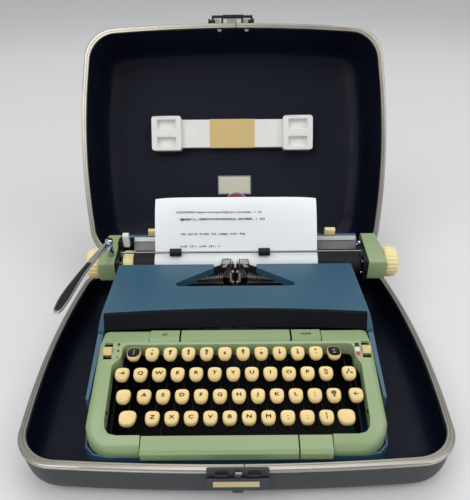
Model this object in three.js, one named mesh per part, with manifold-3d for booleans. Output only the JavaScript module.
// Portable typewriter standing in its opened carrying case. Millimetres, +Z up.
// The origin is the middle of the case's flat bottom. +X is the typist's right, +Y the back.
import * as THREE from "three";
import { mergeVertices } from "three/addons/utils/BufferGeometryUtils.js";
import Module from "manifold-3d";

const wasm = await Module();
wasm.setup();
const half = (size) => size / 2;

// Clearances and finish shared by all pieces
const seatGap = 0.3;
const seamGap = 0.02;
const runGap = 0.3;
const overrun = 5;
const weld = 0.0005;
const roundSteps = 3;
const rodSides = 8;
const wheelSides = 32;

// Keys, placed across in shares of the key pitch
const keyPitch = 19.05;
const keyGap = 3.45;
const capWidth = keyPitch - keyGap;
const capDepth = 15.6;
const capHeight = 10;
const capSides = 10;
const capFrontNarrowShare = 0.16;
const capSquareness = 0.72;
const capRingShares = [[0.7, -1], [1, -0.36], [0.92, 0], [0.6, -0.07]];
const firstRowY = -70.8;
const secondRowY = -89.6;
const thirdRowY = -109.5;
const fourthRowY = -128;
const rowY = [firstRowY, secondRowY, thirdRowY, fourthRowY];
const firstRowTop = 97.6;
const secondRowTop = 87;
const thirdRowTop = 76.5;
const fourthRowTop = 65.9;
const rowTop = [firstRowTop, secondRowTop, thirdRowTop, fourthRowTop];
const rowStartShares = [-5.601, -5.1444, -4.8504, -4.336];
const rowKeys = [12, 11, 11, 10];
const firstPivotDrop = 15.6;
const secondPivotDrop = 14;
const thirdPivotDrop = 16.5;
const fourthPivotDrop = 13.9;
const rowPivotHeight = [firstRowTop - firstPivotDrop, secondRowTop - secondPivotDrop,
  thirdRowTop - thirdPivotDrop, fourthRowTop - fourthPivotDrop];
const homeRow = 2;
const homeKeyOfH = 5;
const pivotY = 8;
const rodRadius = 2;
const leverThickness = 1.8;
const leverHeight = 5;
const leverHubRadius = 4;

// Keys at the ends of the rows, each on its own lever; a lever share shifts it from the key's middle
const tabKeyShare = -6.1312;
const shiftLockKeyShare = -5.937;
const shiftLeftKeyShare = -5.6168;
const marginReleaseKeyShare = 6.0892;
const backspaceKeyShare = 6.3202;
const shiftRightKeyShare = 5.6903;
const tabLeverShare = -0.021;
const shiftLockLeverShare = -0.0945;
const shiftLeftLeverShare = -0.1837;
const shiftRightLeverShare = 0.063;
const upperSidePivotDrop = 9;
const upperSidePivotHeight = secondRowTop - upperSidePivotDrop;
const middleSidePivotDrop = 14;
const middleSidePivotHeight = thirdRowTop - middleSidePivotDrop;
const lowerSidePivotDrop = 14.4;
const lowerSidePivotHeight = fourthRowTop - lowerSidePivotDrop;
const sidePivotY = -4;
const sidePinRadius = 1.5;
const shiftCapExtra = 2.9;
const shiftCapWidth = capWidth + shiftCapExtra;

// Key well, laid round the keys
const wellRoomLeft = 3.4;
const wellRoomRight = 1.3;
const wellRoomFront = 11.2;
const wellRoomBack = 0.6;
const wellLeft = keyPitch * tabKeyShare - half(capWidth) - wellRoomLeft;
const wellRight = keyPitch * backspaceKeyShare + half(capWidth) + wellRoomRight;
const wellFront = fourthRowY - half(capDepth) - wellRoomFront;
const wellBack = firstRowY + half(capDepth) + wellRoomBack;
const wellCorner = 13;
const wellBackCorner = 6;
const wellStepRun = 20.6;
const wellStepFront = wellBack - wellStepRun;
const wellStepShortRun = 12.6;
const wellStepBack = wellBack - wellStepShortRun;
const wellStepLeftWidth = 8.8;
const wellStepLeft = wellLeft + wellStepLeftWidth;
const wellStepRightWidth = 5.4;
const wellStepRight = wellRight - wellStepRightWidth;
const rodEndRoom = 1.5;
const rodHalfLength = wellRight - rodEndRoom;

// Green keyboard frame
const frameBorder = 17.8;
const frameHalfWidth = wellRight + frameBorder;
const frameBackNarrowing = 3.6;
const frameBackOffset = 19.6;
const frameBack = wellBack + frameBackOffset;
const frameShelfOffset = 2.4;
const frameShelf = wellBack + frameShelfOffset;
const frameShelfHeightOffset = 3.9;
const frameShelfHeight = firstRowTop + frameShelfHeightOffset;
const frameSlopeEnd = wellFront;
const frameSlopeEndHeightOffset = 2.9;
const frameSlopeEndHeight = fourthRowTop - frameSlopeEndHeightOffset;
const frameFrontBorder = 11;
const frameFront = wellFront - frameFrontBorder;
const frameFrontShoulderOffset = 3;
const frameFrontShoulder = frameFront + frameFrontShoulderOffset;
const frameFrontShoulderHeightOffset = 5;
const frameFrontShoulderHeight = frameSlopeEndHeight - frameFrontShoulderHeightOffset;
const frameFrontTopOffset = 11;
const frameFrontTop = frameSlopeEndHeight - frameFrontTopOffset;
const frameBottom = 46;
const frameSkirtBreakOffset = 34;
const frameSkirtBreak = frameFront + frameSkirtBreakOffset;
const frameSkirtBackHeightOffset = 17.5;
const frameSkirtBackHeight = frameShelfHeight - frameSkirtBackHeightOffset;
const frameCorner = 28;
const frameEdgeRadius = 7;
const frameEdgeSteps = 4;
const frameCornerSteps = 7;
const frameBend = 3;
const frameWall = 3;
const frameLip = 15;
const barNotchHalfWidthShare = 4.83;
const barNotchHalfWidth = keyPitch * barNotchHalfWidthShare;
const barNotchFrontOffset = 2.8;
const barNotchFront = wellBack + barNotchFrontOffset;
const spaceNotchHalfWidthShare = 4.83;
const spaceNotchHalfWidth = keyPitch * spaceNotchHalfWidthShare;

// Typewriter body, heights from the tray's floor
const bodyWall = 2.6;
const frameSideGap = 0.6;
const bodyHalfWidth = frameHalfWidth + frameSideGap + bodyWall;
const platenY = 110;
const footHeight = 8;
const panFloor = 2;
const chassisFloor = 2;
const basketRadius = 64;
const basketRimDepth = 8;
const basketOuterRadius = basketRadius + basketRimDepth;
const basketFootRoom = 6.5;
const basketFootBottom = footHeight + panFloor + chassisFloor + basketFootRoom;
const basketFootDepth = 8.5;
const strikeHeight = basketFootBottom + basketFootDepth + basketOuterRadius;
const strikeRise = 7;
const platenHeight = strikeHeight - strikeRise;
const beamBottom = -30;
const railTop = platenHeight + beamBottom - seatGap;
const bodyBehindPlaten = 40;
const bodyBack = platenY + bodyBehindPlaten;
const bodyCorner = 12;
const bodyFrontOffset = 45;
const bodyFront = frameFront + bodyFrontOffset;
const bodyFrontTopOffset = 13;
const bodyFrontTop = frameSlopeEndHeight + bodyFrontTopOffset;
const bodyShoulderOffset = 2.5;
const bodyShoulder = frameShelfHeight - bodyShoulderOffset;
const bodyRearTopOffset = 3.7;
const bodyRearTop = railTop - bodyRearTopOffset;
const footRadius = 11;
const footXOffset = 10;
const footX = rodHalfLength - footXOffset;
const footYOffset = 26;
const footY = bodyBack - footYOffset;
const panHalfWidthOffset = 0.3;
const panHalfWidth = bodyHalfWidth - panHalfWidthOffset;
const panFrontOffset = 0.6;
const panFront = frameFront - panFrontOffset;
const panCorner = frameCorner;
const panWall = 2.5;
const panBevel = 6;
const panCurveShares = [[0, 1], [0.35, 0.35], [1, 0]];
const panTop = 41.7;
const panCornerTop = 45.7;
const panRaisedBackOffset = 3;
const panRaisedBack = bodyFront - panRaisedBackOffset;
const bodyStepYOffset = 36.5;
const bodyStepY = platenY - bodyStepYOffset;
const crownHalfWidthOffset = 4.5;
const crownHalfWidth = bodyHalfWidth - crownHalfWidthOffset;

// Top cover with its type opening
const coverFrontSidesOffset = 11.1;
const coverFrontSides = frameBack + coverFrontSidesOffset;
const coverFrontMiddleOffset = 18.8;
const coverFrontMiddle = frameBack + coverFrontMiddleOffset;
const coverBackOffset = 2.1;
const coverBack = bodyStepY - coverBackOffset;
const fasciaFootHeightOffset = 0.9;
const fasciaFootHeight = frameShelfHeight + fasciaFootHeightOffset;
const coverFrontHeightOffset = 17.1;
const coverFrontHeight = fasciaFootHeight + coverFrontHeightOffset;
const coverBackHeightOffset = 4.9;
const coverBackHeight = coverFrontHeight - coverBackHeightOffset;
const coverWall = 2;
const coverEdgeRadius = 4;
const coverBackLip = 9;
const slotFrontOffset = 50.7;
const slotFront = coverBack - slotFrontOffset;
const slotTipX = 71.5;
const slotTipYOffset = 6.3;
const slotTipY = slotFront + slotTipYOffset;
const slotThroatX = 27;
const slotThroatYOffset = 9.4;
const slotThroatY = coverBack - slotThroatYOffset;
const slotFlange = 9;
const slotCorner = 3;
const slotThroatCorner = 5;

// Black fascia band between the cover and the keyboard frame, held between the cover's cheeks
const cheekWidth = 7.6;
const fasciaThickness = 3;
const fasciaFootSidesOffset = 0.3;
const fasciaFootSides = frameBack + fasciaFootSidesOffset;
const fasciaFootMiddleOffset = 4.8;
const fasciaFootMiddle = frameBack + fasciaFootMiddleOffset;
const fasciaGap = 0.6;
const fasciaStations = 12;

// Tabulator bars and space bars
const setKeyFromShare = 4.798;
const setKeyFrom = -keyPitch * setKeyFromShare;
const setKeyToShare = 3.16;
const setKeyTo = -keyPitch * setKeyToShare;
const tabBarFromShare = 3.055;
const tabBarFrom = -keyPitch * tabBarFromShare;
const tabBarToShare = 3.0394;
const tabBarTo = keyPitch * tabBarToShare;
const clearKeyFromShare = 3.1496;
const clearKeyFrom = keyPitch * clearKeyFromShare;
const clearKeyToShare = 4.7612;
const clearKeyTo = keyPitch * clearKeyToShare;
const barEndArmXShare = 4;
const barEndArmX = keyPitch * barEndArmXShare;
const barInnerArmXShare = 2;
const barInnerArmX = keyPitch * barInnerArmXShare;
const topBarBackOffset = 0.8;
const topBarBack = frameBack - topBarBackOffset;
const topBarFrontOffset = 1;
const topBarFront = barNotchFront + topBarFrontOffset;
const topBarTopOffset = 2.2;
const topBarTop = frameShelfHeight + topBarTopOffset;
const topBarThickness = 3;
const topBarLip = 9.4;
const topBarBevel = 3;
const topBarPivotHeightOffset = 8.5;
const topBarPivotHeight = frameShelfHeight - topBarPivotHeightOffset;
const setPivotHeightOffset = 13.5;
const setPivotHeight = frameShelfHeight - setPivotHeightOffset;
const topBarArmYOffset = 9.2;
const topBarArmY = frameBack - topBarArmYOffset;
const spaceBarFromShare = 4.7717;
const spaceBarFrom = -keyPitch * spaceBarFromShare;
const spaceBarToShare = 3.0709;
const spaceBarTo = keyPitch * spaceBarToShare;
const powerBarFromShare = 3.1496;
const powerBarFrom = keyPitch * powerBarFromShare;
const powerBarToShare = 4.7769;
const powerBarTo = keyPitch * powerBarToShare;
const spaceBarBackOffset = 0.3;
const spaceBarBack = wellFront - spaceBarBackOffset;
const spaceBarBackHeightOffset = 1;
const spaceBarBackHeight = frameSlopeEndHeight - spaceBarBackHeightOffset;
const spaceBarFrontOffset = 4.3;
const spaceBarFront = frameFront - spaceBarFrontOffset;
const spaceBarShoulderOffset = 1.6;
const spaceBarShoulder = frameFront - spaceBarShoulderOffset;
const spaceBarShoulderHeightOffset = 6;
const spaceBarShoulderHeight = frameSlopeEndHeight - spaceBarShoulderHeightOffset;
const spaceBarLipHeightOffset = 11;
const spaceBarLipHeight = spaceBarShoulderHeight - spaceBarLipHeightOffset;
const spaceBarThickness = 3;
const spacePivotDrop = 13.5;
const spacePivotHeight = lowerSidePivotHeight - spacePivotDrop;
const powerPivotRoom = 2;
const powerPivotHeight = spacePivotHeight - leverHeight - powerPivotRoom;
const spaceArmYOffset = 1.9;
const spaceArmY = wellFront - spaceArmYOffset;
const barArmThickness = 2;

// Selector levers in the frame's two slots
const selectorLeftXOffset = 5.8;
const selectorLeftX = wellLeft - selectorLeftXOffset;
const selectorRightXOffset = 7.2;
const selectorRightX = wellRight + selectorRightXOffset;
const selectorYOffset = 6.1;
const selectorY = wellBack - selectorYOffset;
const selectorSlotWidth = 9;
const selectorSlotLength = 17;
const selectorLength = 9.2;
const selectorProud = 4.5;
const selectorSunk = 7;

// Inner chassis with the rods' bearings, ribbon decks and carriage rail
const chassisPlateThickness = 2.7;
const chassisFrontOffset = 1;
const chassisFront = wellFront + chassisFrontOffset;
const chassisFrontHeight = 20;
const chassisKneeY = frameShelf;
const chassisKneeHeightOffset = 3;
const chassisKneeHeight = frameSlopeEndHeight - chassisKneeHeightOffset;
const bearingTopOffset = 17.6;
const bearingTop = coverBackHeight - bearingTopOffset;
const bearingFront = -10;
const bearingBack = 14;
const deckTopOffset = 30.6;
const deckTop = coverBackHeight - deckTopOffset;
const deckThickness = 2;
const spoolXOffset = 21;
const spoolX = rodHalfLength - spoolXOffset;
const spoolYOffset = 24.4;
const spoolY = coverBack - spoolYOffset;
const deckFrontOffset = 23;
const deckFront = spoolY - deckFrontOffset;
const deckBackOffset = 23;
const deckBack = spoolY + deckBackOffset;
const deckInnerOffset = 23;
const deckInner = spoolX - deckInnerOffset;
const spoolRadius = 20;
const spoolCoreRadius = 9;
const spoolHeight = 13;
const spoolFlange = 1.2;
const spoolPostRadius = 2.5;
const spoolPostRise = 18;
const railFrontOffset = 10;
const railFront = platenY + railFrontOffset;
const railBackOffset = 28;
const railBack = platenY + railBackOffset;
const railHeight = 6;
const crossBarFrontOffset = 15;
const crossBarFront = platenY - crossBarFrontOffset;
const crossBarBackOffset = 11;
const crossBarBack = platenY - crossBarBackOffset;
const crossBarBottomOffset = 45;
const crossBarBottom = strikeHeight - crossBarBottomOffset;
const crossBarTopOffset = 33;
const crossBarTop = strikeHeight - crossBarTopOffset;

// Type basket: every bar turns at the segment's arc about the printing point
const strikeYOffset = 22;
const strikeY = platenY - strikeYOffset;
const basketInnerRadiusOffset = 7;
const basketInnerRadius = basketRadius - basketInnerRadiusOffset;
const basketFrontOffset = 6;
const basketFront = strikeY - basketFrontOffset;
const basketBackOffset = 5;
const basketBack = strikeY + basketBackOffset;
const basketFootHalfWidth = 20;
const basketGuideWidth = 4;
const basketGuideRise = 5;
const basketGuideTop = basketFootBottom + basketGuideRise;
const barPitchAngle = 2.95;
const barsEachSide = 20;
const basketEndAngle = 60.5;
const basketArcSteps = 20;
const barRestAngle = 6;
const barThickness = 1.1;
const barDepth = 3.6;
const slugWidth = 2.2;
const slugLength = 5.5;
const slugProud = 3.1;
const barRoot = 2.5;
const guideHalfWidth = 4.2;
const guideThickness = 1;
const guideSlotHalfWidth = 2.2;
const guideBottomOffset = 15;
const guideBottom = strikeHeight - guideBottomOffset;
const guideTopOffset = 8;
const guideTop = strikeHeight + guideTopOffset;
const guideSlotBottomOffset = 2.5;
const guideSlotBottom = guideBottom + guideSlotBottomOffset;
const guideYOffset = 2.15;
const guideY = strikeY + guideYOffset;
const cardHolderOuter = 19;
const cardHolderBottomOffset = 2;
const cardHolderBottom = strikeHeight - cardHolderBottomOffset;
const cardHolderTopOffset = 12;
const cardHolderTop = cardHolderBottom + cardHolderTopOffset;
const cardHolderThickness = 1;
const cardHolderLean = 3.2;
const cardHolderTaper = 3;

// Carriage, about the platen's axis
const platenRadius = 17.1;
const platenRingLeftOffset = 1.5;
const platenRingLeft = platenRingLeftOffset - bodyHalfWidth;
const platenLeftOffset = 14;
const platenLeft = platenRingLeft + platenLeftOffset;
const platenRightOffset = 15.5;
const platenRight = bodyHalfWidth + platenRightOffset;
const platenShaftRadius = 4;
const tableLowerYOffset = 3.4;
const tableLowerY = platenRadius + tableLowerYOffset;
const tableLowerHeight = 4;
const tableUpperYOffset = 9.5;
const tableUpperY = tableLowerY + tableUpperYOffset;
const tableUpperHeightOffset = 14.5;
const tableUpperHeight = tableLowerHeight + tableUpperHeightOffset;
const tableLipYOffset = 3;
const tableLipY = tableUpperY + tableLipYOffset;
const tableLipHeightOffset = 3;
const tableLipHeight = tableUpperHeight + tableLipHeightOffset;
const tableThickness = 1.5;
const tableInset = 12;
const backCoverFrontOffset = 1;
const backCoverFront = tableLipY + backCoverFrontOffset;
const backCoverBackOffset = 8;
const backCoverBack = backCoverFront + backCoverBackOffset;
const backCoverTop = 22;
const backCoverBottom = -14;
const endPlateThickness = 6;
const endPlateFront = -21;
const endPlateBackOffset = 4;
const endPlateBack = backCoverBack - endPlateBackOffset;
const endPlateTop = 16;
const endPlateBottom = -19;
const endPlateGap = 3;
const beamFront = 10;
const beamBack = 28;
const beamTop = -19;
const coverLeftOuterOffset = 29;
const coverLeftOuter = -bodyHalfWidth - coverLeftOuterOffset;
const coverRightOuterOffset = 48;
const coverRightOuter = bodyHalfWidth + coverRightOuterOffset;
const endCoverWall = 2.5;
const endCoverFront = -23;
const endCoverFrontTop = 14;
const endCoverBackOffset = 3;
const endCoverBack = backCoverBack - endCoverBackOffset;
const endCoverBackTop = 24;
const endCoverBottom = -14;
const endCoverCorner = 4;
const knobRadius = 20.6;
const knobWaistRadiusOffset = 2;
const knobWaistRadius = knobRadius - knobWaistRadiusOffset;
const knobFlutes = 22;
const knobFluteDepth = 0.8;
const knobLength = 18.5;
const knobCrown = 3;
const knobBoreDepth = 9;
const bailRodY = -8.5;
const bailRodHeight = 21.9;
const bailRodRadius = 1.5;
const bailPivotY = -10;
const bailPivotHeight = -4;
const bailArmThickness = 1.6;
const bailArmWidth = 4;
const bailRollerRadius = 5.2;
const bailRollerLength = 15;
const bailRollerShares = [-0.3704, 0.1713];
const backCoverWall = 2;
const backCoverCorner = 3;
const marginStopX = [-113, 132];
const marginStopWidth = 14.5;
const marginStopHeight = 9.5;
const marginStopDepth = 8;
const leverPivotXOffset = 15;
const leverPivotX = coverLeftOuter + leverPivotXOffset;
const leverPivotY = -6;
const leverHeightAboveAxis = 36.5;
const returnLeverThickness = 5;
const leverHubHeight = 2;
const leverStudRadius = 4;
const leverElbowXOffset = 22;
const leverElbowX = leverPivotX - leverElbowXOffset;
const leverElbowY = -78;
const leverTipXOffset = 26;
const leverTipX = leverPivotX - leverTipXOffset;
const leverTipY = -152;
const leverRootWidth = 10;
const leverNeckWidth = 8;
const leverGripWidth = 14;
const leverTipWidth = 8;
const selectorBlockWidth = 8;
const selectorBlockY = 17;
const selectorBlockDepth = 7;
const selectorBlockBottom = 17.5;
const selectorBlockTop = 36;
const selectorEarHeight = 27;
const releaseLeverLength = 15;
const releaseLeverReach = 9;
const releaseLeverThickness = 5;
const releaseLeverHeight = 7;

// Sheet of paper in the carriage
const sheetWidth = 216;
const sheetThickness = 0.4;
const sheetShift = 1.5;
const sheetWrapFrom = -20;
const sheetWrapTo = -248;
const sheetWrapSteps = 14;
const sheetTailRise = 28.2;
const sheetTailLean = 10.3;
const sheetFreeY = [-1.5, 5, 13, 21, 29, 35];
const sheetFreeHeight = [19.5, 31, 46, 61, 74, 81];

// Carrying case, tray and lid alike, laid round the machine
const caseSideRoom = 74.2;
const caseBackRoom = 23.3;
const caseHalfWidth = bodyHalfWidth + caseSideRoom;
const caseHalfDepth = bodyBack + caseBackRoom;
const caseCornerRadius = 45;
const caseSideBulge = 7.7;
const caseFrontBulge = 6;
const caseWall = 4;
const caseCornerSteps = 5;
const trayDepth = 46;
const trayBottomInset = 30;
const lidDepth = 90;
const lidBottomInset = 30;
const trimHeight = 5.3;
const trimProud = 1;
const trimWall = 6;
const lidOpenAngle = 115.5;
const trayCurveShares = [[0, 1], [0.05, 0.6], [0.17, 0.27], [0.42, 0.07], [1, 0]];
const lidCurveShares = [[0, 1], [0.05, 0.68], [0.13, 0.44], [0.35, 0.24], [1, 0]];

// Case hinges, handle, latch and foam packing
const hingeOffset = 3.5;
const hingeSpreadOffset = 94.7;
const hingeSpread = caseHalfWidth - hingeSpreadOffset;
const knuckleRadius = 3.2;
const knuckleLength = 16;
const hingePinRadius = 1.2;
const hingeLeafThickness = 2.4;
const handleShift = -3;
const handlePlateHalfWidth = 33;
const handlePlateThickness = 2.5;
const handlePlateFrom = 8;
const handlePlateTo = 30;
const handleHalfSpan = 26;
const handleReach = 34;
const handleGripRadius = 4.5;
const handlePostRadius = 3;
const handlePivotDepth = 19;
const latchShift = 1;
const latchHalfWidth = 29;
const latchPlateBottom = 31;
const latchPlateTop = 57;
const latchPlateThickness = 2.8;
const latchSlotWidth = 11;
const latchSlotHeight = 3.5;
const latchSlotSpread = 15;
const latchSlotDrop = 4;
const strikerHalfWidth = 3;
const strikerHeight = 5;
const strikerProud = 2.5;
const flapTop = 45;
const flapBottom = 32;
const flapThickness = 2.6;
const flapBarrelRadius = 1.8;
const flapTabHalfWidth = 5.5;
const flapTabDrop = 6;
const foamHalfLength = 130;
const foamShift = -3;
const foamNearOffset = 2.7;
const foamNear = caseHalfDepth + foamNearOffset;
const foamFarOffset = 55;
const foamFar = foamNear + foamFarOffset;
const foamHeight = 24;
const foamWaistHeight = 15;
const foamEndLength = 48;
const foamCup = 15;
const foamCupDepth = 9;
const foamWaistInset = 5;

// Colours
const paint = (color, roughness, metalness) =>
  new THREE.MeshStandardMaterial({ color, roughness, metalness });
const charcoalShell = paint(0x2c2c31, 0.6, 0);
const aluminium = paint(0xbebcb4, 0.35, 0.9);
const chrome = paint(0xb9bcc0, 0.2, 1);
const blackMetal = paint(0x1a1a1c, 0.45, 0.3);
const blackRubber = paint(0x1d1e20, 0.7, 0);
const bluePaint = paint(0x426276, 0.4, 0);
const greenPaint = paint(0x9bae82, 0.4, 0);
const blackPaint = paint(0x18181b, 0.35, 0);
const ivoryKey = paint(0xe6cd96, 0.35, 0);
const ivoryKnob = paint(0xebdeaa, 0.4, 0);
const steel = paint(0x8f9195, 0.35, 1);
const greyMetal = paint(0x77787a, 0.5, 0.6);
const whiteFoam = paint(0xebebe6, 0.85, 0);
const whitePaper = paint(0xe3e7eb, 0.8, 0);
const clearPlastic = paint(0xd8d0a8, 0.2, 0);

const rad = THREE.MathUtils.degToRad;
const mid = (a, b) => half(a + b);

// A closed geometry as a solid that can be cut and joined, with its faces pointing out
function solid(geometry) {
  const bare = geometry.clone();
  bare.deleteAttribute("normal");
  bare.deleteAttribute("uv");
  const merged = mergeVertices(bare, weld);
  const corners = Array.from(merged.index.array);
  const faces = [];
  for (let i = 0; i < corners.length; i += 3) {
    const [a, b, c] = corners.slice(i, i + 3);
    if (a !== b && b !== c && a !== c) faces.push(a, b, c);
  }
  const vertProperties = merged.attributes.position.array;
  const triVerts = new Uint32Array(faces);
  const made = new wasm.Manifold(new wasm.Mesh({ numProp: 3, vertProperties, triVerts }));
  if (made.volume() > 0) return made;
  const turned = new Uint32Array(faces.reverse());
  return new wasm.Manifold(new wasm.Mesh({ numProp: 3, vertProperties, triVerts: turned }));
}

const join = (...solids) => solids.reduce((sum, next) => sum.add(next));
const cut = (body, ...tools) => tools.reduce((left, tool) => left.subtract(tool), body);

// A named mesh of a solid, hung in its group
function piece(name, made, material, parent) {
  const result = made.getMesh();
  const geometry = new THREE.BufferGeometry();
  geometry.setAttribute("position", new THREE.BufferAttribute(result.vertProperties, 3));
  geometry.setIndex(new THREE.BufferAttribute(result.triVerts, 1));
  geometry.computeVertexNormals();
  const mesh = new THREE.Mesh(geometry, material);
  mesh.name = name;
  parent.add(mesh);
  return mesh;
}

const moved = (made, x, y, z) => made.translate([x, y, z]);

// An outline with its corners rounded; one radius for all, or a list with one for each
function rounded(points, radius, steps = roundSteps) {
  const result = [];
  points.forEach((point, i) => {
    const here = new THREE.Vector2(...point);
    const before = new THREE.Vector2(...points.at(i - 1));
    const after = new THREE.Vector2(...points[(i + 1) % points.length]);
    const wanted = Array.isArray(radius) ? radius[i] : radius;
    if (!wanted) {
      result.push(point);
      return;
    }
    const back = before.clone().sub(here);
    const on = after.clone().sub(here);
    const turn = Math.acos(THREE.MathUtils.clamp(back.dot(on) / (back.length() * on.length()), -1, 1));
    const run = Math.min(wanted / Math.tan(half(turn)), half(back.length()), half(on.length()));
    const start = here.clone().addScaledVector(back.normalize(), run);
    const end = here.clone().addScaledVector(on.normalize(), run);
    const arc = new THREE.QuadraticBezierCurve(start, here, end);
    arc.getPoints(steps).forEach((p) => result.push([p.x, p.y]));
  });
  return result;
}

const shapeOf = (points) => new THREE.Shape(points.map((p) => new THREE.Vector2(...p)));
const extruded = (points, depth) =>
  new THREE.ExtrudeGeometry(shapeOf(points), { depth, bevelEnabled: false, steps: 1 });

// Prisms whose outline lies across Z (x, y), across X (y, z) or across Y (x, z)
const prismZ = (points, from, to) => solid(extruded(points, to - from).translate(0, 0, from));
function prismX(points, from, to) {
  const geometry = extruded(points, to - from).translate(0, 0, from);
  const along = new THREE.Matrix4().makeBasis(
    new THREE.Vector3(0, 1, 0), new THREE.Vector3(0, 0, 1), new THREE.Vector3(1, 0, 0));
  return solid(geometry.applyMatrix4(along));
}
const prismY = (points, from, to) =>
  solid(extruded(points, to - from).translate(0, 0, -to).rotateX(Math.PI / 2));
const box = (x0, x1, y0, y1, z0, z1) =>
  solid(new THREE.BoxGeometry(x1 - x0, y1 - y0, z1 - z0).translate(mid(x0, x1), mid(y0, y1), mid(z0, z1)));
const rectangle = (x0, x1, y0, y1) => [[x0, y0], [x1, y0], [x1, y1], [x0, y1]];

// Round bars along each axis
const rodX = (radius, from, to, y, z, sides = rodSides) =>
  solid(new THREE.CylinderGeometry(radius, radius, to - from, sides).rotateZ(-Math.PI / 2)
    .translate(mid(from, to), y, z));
const rodZ = (radius, from, to, x, y, sides = rodSides) =>
  solid(new THREE.CylinderGeometry(radius, radius, to - from, sides).rotateX(Math.PI / 2)
    .translate(x, y, mid(from, to)));

// Turned shapes: profile points are [radius, place along the axis]
const turned = (profile, sides) =>
  new THREE.LatheGeometry(profile.map((p) => new THREE.Vector2(...p)), sides);
const turnedX = (profile, sides = wheelSides) => solid(turned(profile, sides).rotateZ(-Math.PI / 2));
const turnedZ = (profile, sides = wheelSides) => solid(turned(profile, sides).rotateX(Math.PI / 2));

// A skin through rings of as many points each, closed with a flat fan at both ends
function loft(rings) {
  const count = rings[0].length;
  const faces = [];
  for (let k = 0; k + 1 < rings.length; k++) {
    for (let i = 0; i < count; i++) {
      const a = k * count + i;
      const b = k * count + ((i + 1) % count);
      faces.push(a, b, b + count, a, b + count, a + count);
    }
  }
  const last = (rings.length - 1) * count;
  for (let i = 1; i + 1 < count; i++) {
    faces.push(0, i + 1, i);
    faces.push(last, last + i, last + i + 1);
  }
  const geometry = new THREE.BufferGeometry();
  geometry.setAttribute("position", new THREE.Float32BufferAttribute(rings.flat(2), 3));
  geometry.setIndex(faces);
  return solid(geometry);
}

const root = new THREE.Group();
const tray = new THREE.Group();
root.add(tray);

// Carrying case

// The case's plan outline: a rectangle with bulged sides and round corners, drawn in by an inset
function casePlan(inset) {
  const x = caseHalfWidth - caseSideBulge - inset;
  const y = caseHalfDepth - caseFrontBulge - inset;
  const radius = caseCornerRadius - half(inset);
  const quarter = [];
  const cx = x - radius;
  const cy = y - radius;
  quarter.push([x + caseSideBulge, 0]);
  quarter.push([x + caseSideBulge * (1 - half(1) * half(1)), half(cy)]);
  for (let i = 0; i <= caseCornerSteps; i++) {
    const angle = (i / caseCornerSteps) * half(Math.PI);
    quarter.push([cx + radius * Math.cos(angle), cy + radius * Math.sin(angle)]);
  }
  quarter.push([half(cx), y + caseFrontBulge * (1 - half(1) * half(1))]);
  quarter.push([0, y + caseFrontBulge]);
  const left = quarter.slice(0, -1).reverse().map(([px, py]) => [-px, py]);
  const back = quarter.concat(left);
  const front = back.slice(1, -1).reverse().map(([px, py]) => [px, -py]);
  return back.concat(front);
}

const atHeight = (plan, z) => plan.map(([x, y]) => [x, y, z]);

// A drawn shell with a rounded floor at z = 0 and its mouth at z = depth
const dishBlock = (depth, bottomInset, shares) =>
  loft(shares.map(([up, inset]) => atHeight(casePlan(inset * bottomInset), up * depth)));
function dish(depth, bottomInset, shares) {
  const inner = shares.map(([up, inset]) =>
    atHeight(casePlan(caseWall + inset * bottomInset), caseWall + up * (depth - caseWall)));
  inner.push(atHeight(casePlan(caseWall), depth + overrun));
  return dishBlock(depth, bottomInset, shares).subtract(loft(inner));
}

const rimHeight = trayDepth + trimHeight;
const hingeY = caseHalfDepth + hingeOffset;
const trimOuter = -trimProud;
const knuckleBore = hingePinRadius + runGap;

const lid = new THREE.Group();
lid.position.set(0, hingeY, rimHeight);
lid.rotation.x = -rad(lidOpenAngle);
root.add(lid);

// Knuckles on a trim: a barrel piece and the leaf that ties it to the rim
function knuckle(x, leafBottom, leafTop, axisY, axisZ) {
  const from = x - half(knuckleLength);
  const to = x + half(knuckleLength);
  const barrel = rodX(knuckleRadius, from, to, axisY, axisZ, rodSides * 2);
  const leaf = box(from, to, axisY - hingeOffset - trimWall, axisY, leafBottom, leafTop);
  return barrel.add(leaf);
}
const hingeBores = (axisY, axisZ) => [-hingeSpread, hingeSpread].map((x) =>
  rodX(knuckleBore, x - knuckleLength * 2, x + knuckleLength * 2, axisY, axisZ, rodSides));
const trimRing = (from, to) =>
  prismZ(casePlan(trimOuter), from, to).subtract(prismZ(casePlan(trimWall), from - overrun, to + overrun));

piece("case_tray", dish(trayDepth, trayBottomInset, trayCurveShares), charcoalShell, tray);
const trayKnuckles = [-hingeSpread, hingeSpread].map((x) =>
  knuckle(x, rimHeight - hingeLeafThickness, rimHeight, hingeY, rimHeight));
const trayRing = join(trimRing(trayDepth, rimHeight), ...trayKnuckles);
piece("tray_rim", cut(trayRing, ...hingeBores(hingeY, rimHeight)), aluminium, tray);

const halfTurn = 180;
const inLid = (made) => moved(made.rotate([halfTurn, 0, 0]), 0, -hingeY, lidDepth + trimHeight + seamGap);
piece("case_lid", inLid(dish(lidDepth, lidBottomInset, lidCurveShares)), charcoalShell, lid);
const lidKnuckleX = knuckleLength + runGap;
const lidKnuckles = [-hingeSpread, hingeSpread].flatMap((x) => [x - lidKnuckleX, x + lidKnuckleX])
  .map((x) => knuckle(x, 0, hingeLeafThickness, 0, 0));
const lidRing = join(moved(trimRing(0, trimHeight), 0, -hingeY, 0), ...lidKnuckles);
piece("lid_rim", cut(lidRing, ...hingeBores(0, 0)), aluminium, lid);
["left", "right"].forEach((side, i) => {
  const x = i ? hingeSpread : -hingeSpread;
  const reach = half(knuckleLength) + lidKnuckleX;
  piece("hinge_pin_" + side, rodX(hingePinRadius, x - reach, x + reach, hingeY, rimHeight), chrome, tray);
});

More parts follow.
